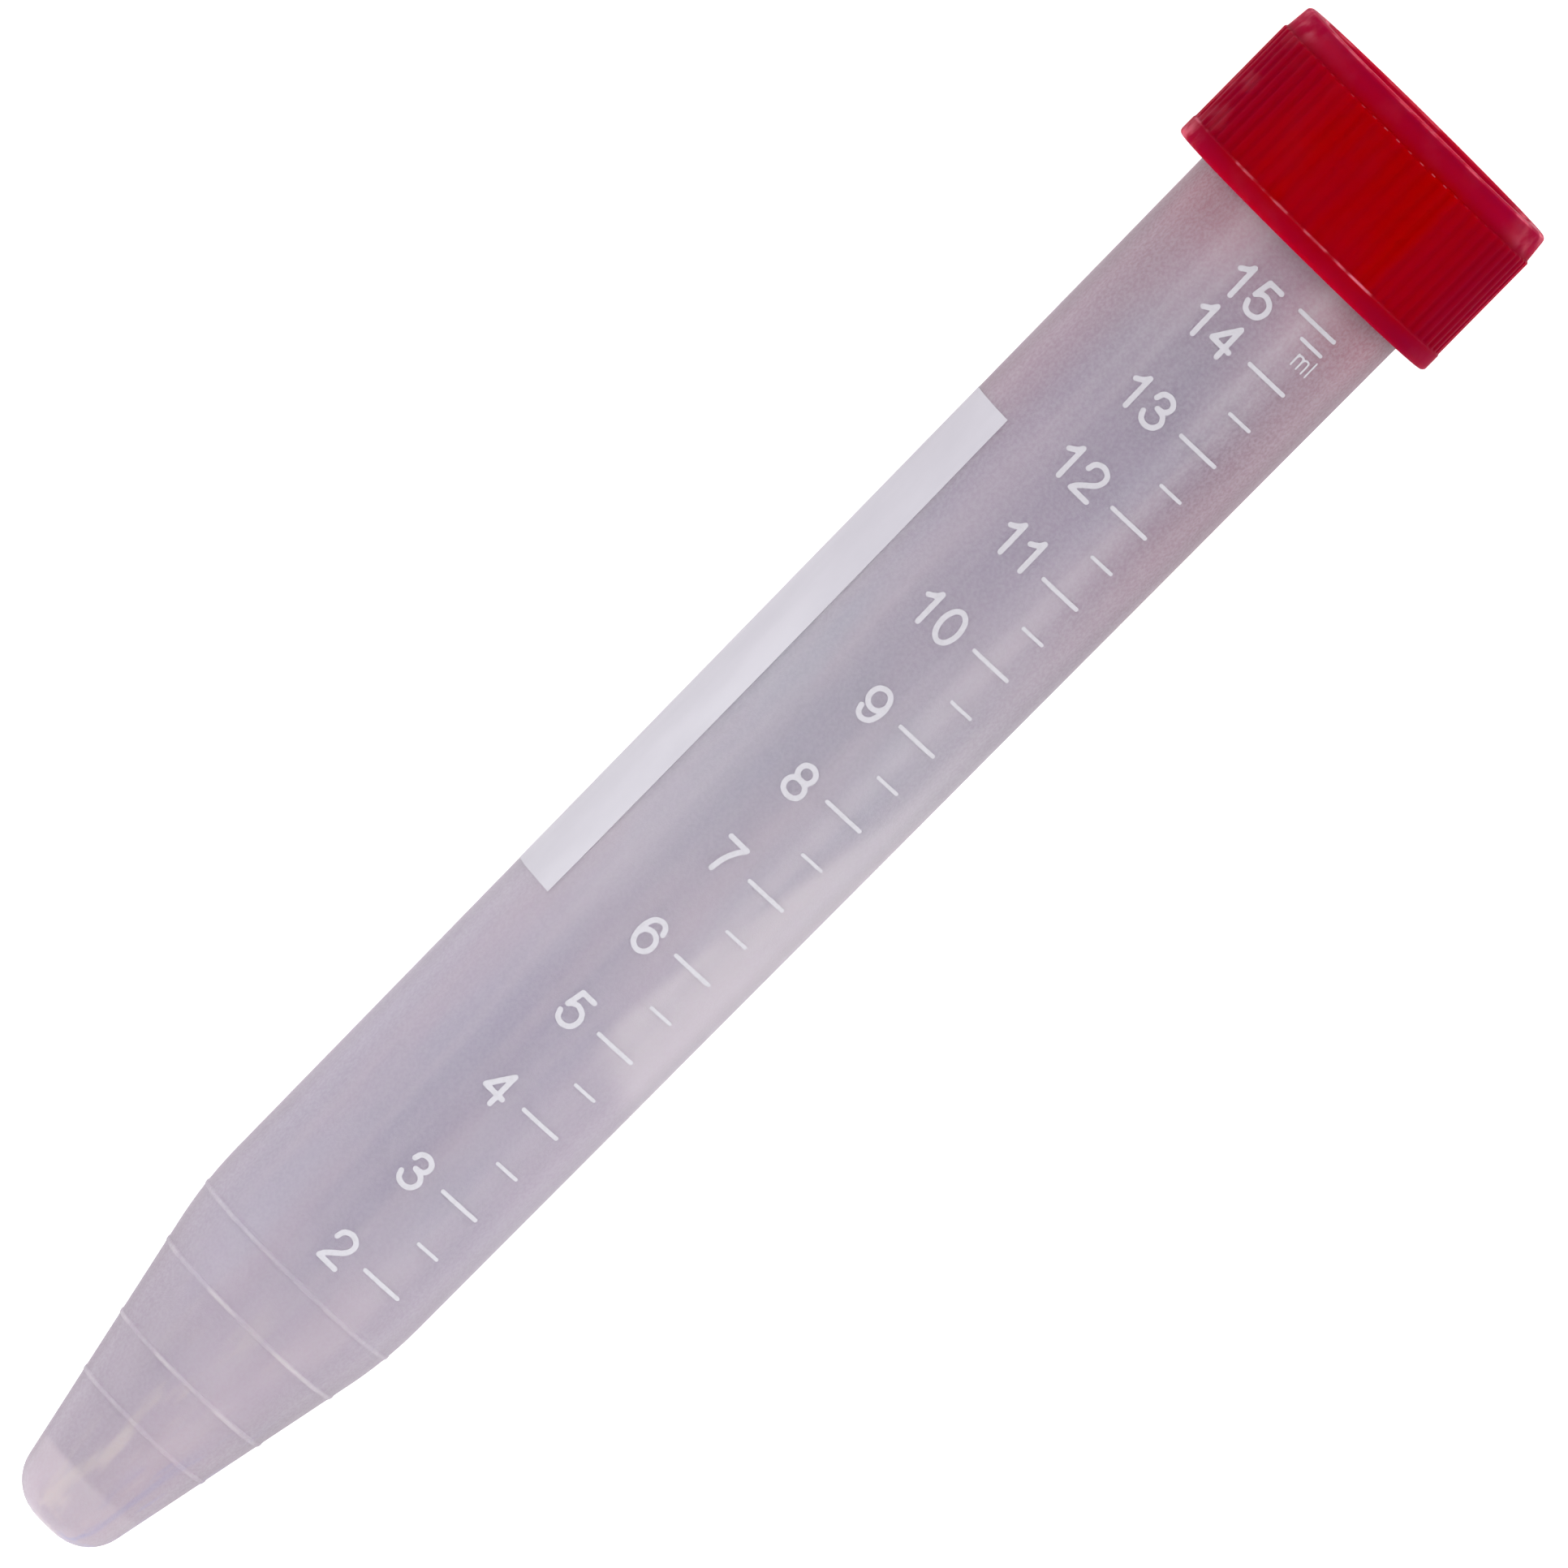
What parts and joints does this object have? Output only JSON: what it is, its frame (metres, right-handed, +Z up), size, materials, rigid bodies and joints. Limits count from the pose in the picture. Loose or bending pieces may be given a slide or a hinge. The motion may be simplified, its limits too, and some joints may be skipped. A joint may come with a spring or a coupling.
{
  "type": "conical centrifuge tube",
  "caption": "Slim translucent plastic tube with a long straight body, a conical blunt end, a printed volume scale and a ribbed screw cap, lying on its side.",
  "frame": {"origin": "on the surface that the tube lies on, under the middle of its length", "axes": "+X towards the cap along the lying tube, +Z up; the printed scale faces up"},
  "size_m": [0.1208, 0.021, 0.0211],
  "materials": {
    "tube_plastic": "milky translucent polypropylene, natural",
    "cap_plastic": "deep red polyethylene, slightly translucent, satin",
    "print_ink": "white screen-printed ink"
  },
  "bodies": {
    "tube_body": {"tube": "tube_plastic"},
    "cap_body": {"cap": "cap_plastic"}
  },
  "joints": [
    {"name": "cap_lift", "type": "slide", "parent": "tube_body", "child": "cap_body", "axis": [0.9995, 0, 0.0304], "range_m": [0, 0.03]}
  ]
}
